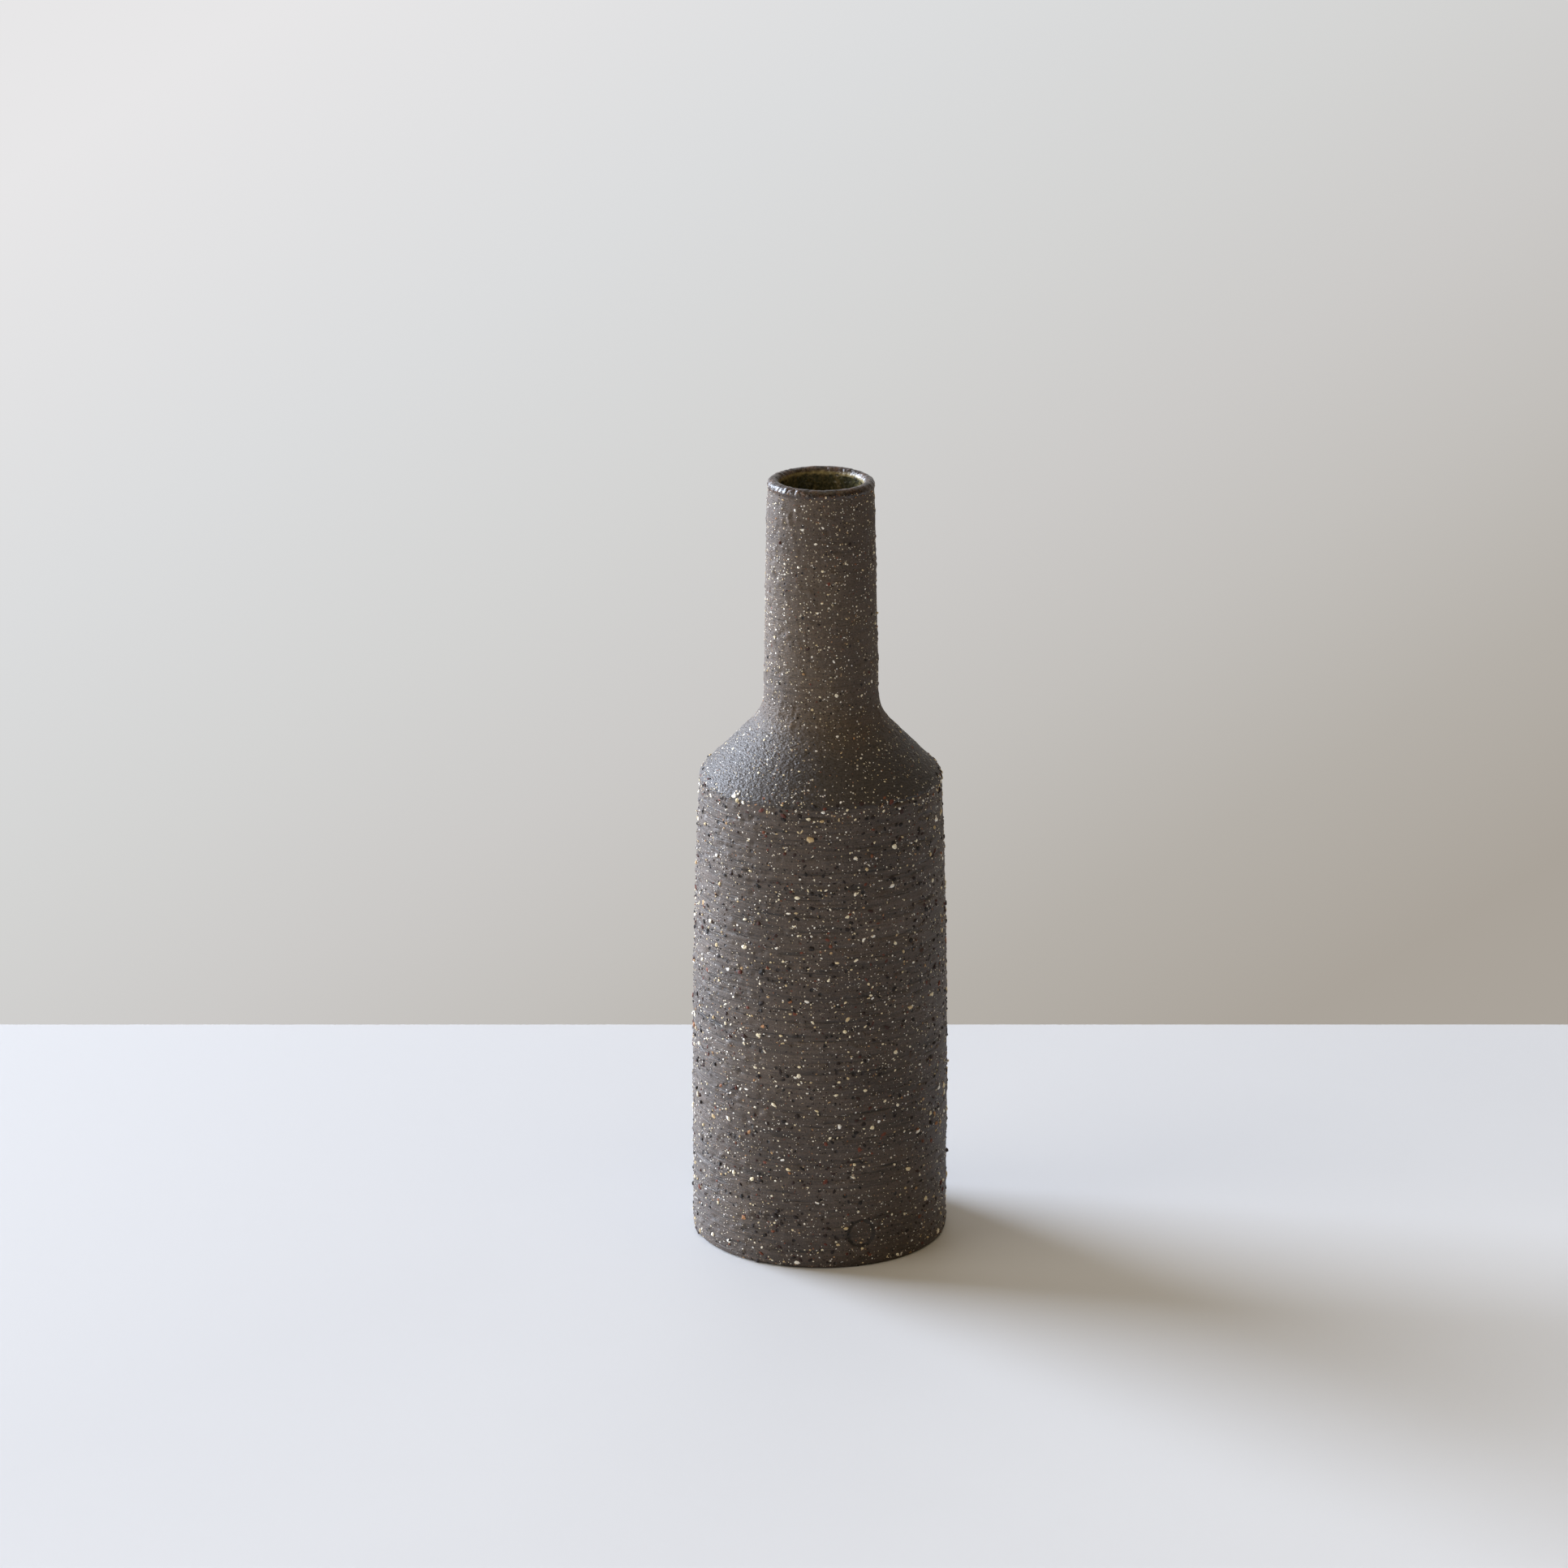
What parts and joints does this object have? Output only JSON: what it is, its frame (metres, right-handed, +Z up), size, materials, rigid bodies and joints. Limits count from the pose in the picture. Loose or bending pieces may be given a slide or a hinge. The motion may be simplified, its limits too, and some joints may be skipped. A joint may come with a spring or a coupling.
{
  "type": "stoneware bottle vase",
  "caption": "Tall narrow-necked bottle vase in dark grogged stoneware, with a conical shoulder, a glazed inside and a glazed lip. Holds water and cut stems.",
  "frame": {"origin": "centre of the foot, on the plane the vase stands on", "axes": "+Z up along the vase's axis, -Y the front, where the potter's round seal is (18.7 degrees towards +X)"},
  "size_m": [0.0706, 0.0706, 0.215],
  "materials": {
    "dark_stoneware": "matte",
    "burnished_stoneware": "satin",
    "luting_slip": "matte",
    "green_liner_glaze": "gloss",
    "brown_rim_glaze": "gloss",
    "cream_grog": "matte",
    "iron_grog": "matte"
  },
  "bodies": {
    "root": {"thrown_body": "dark_stoneware", "shoulder_slip": "luting_slip", "shoulder_cone": "burnished_stoneware", "neck_slip": "luting_slip", "neck_tube": "dark_stoneware", "liner_glaze": "green_liner_glaze", "rim_glaze": "brown_rim_glaze"}
  },
  "joints": []
}
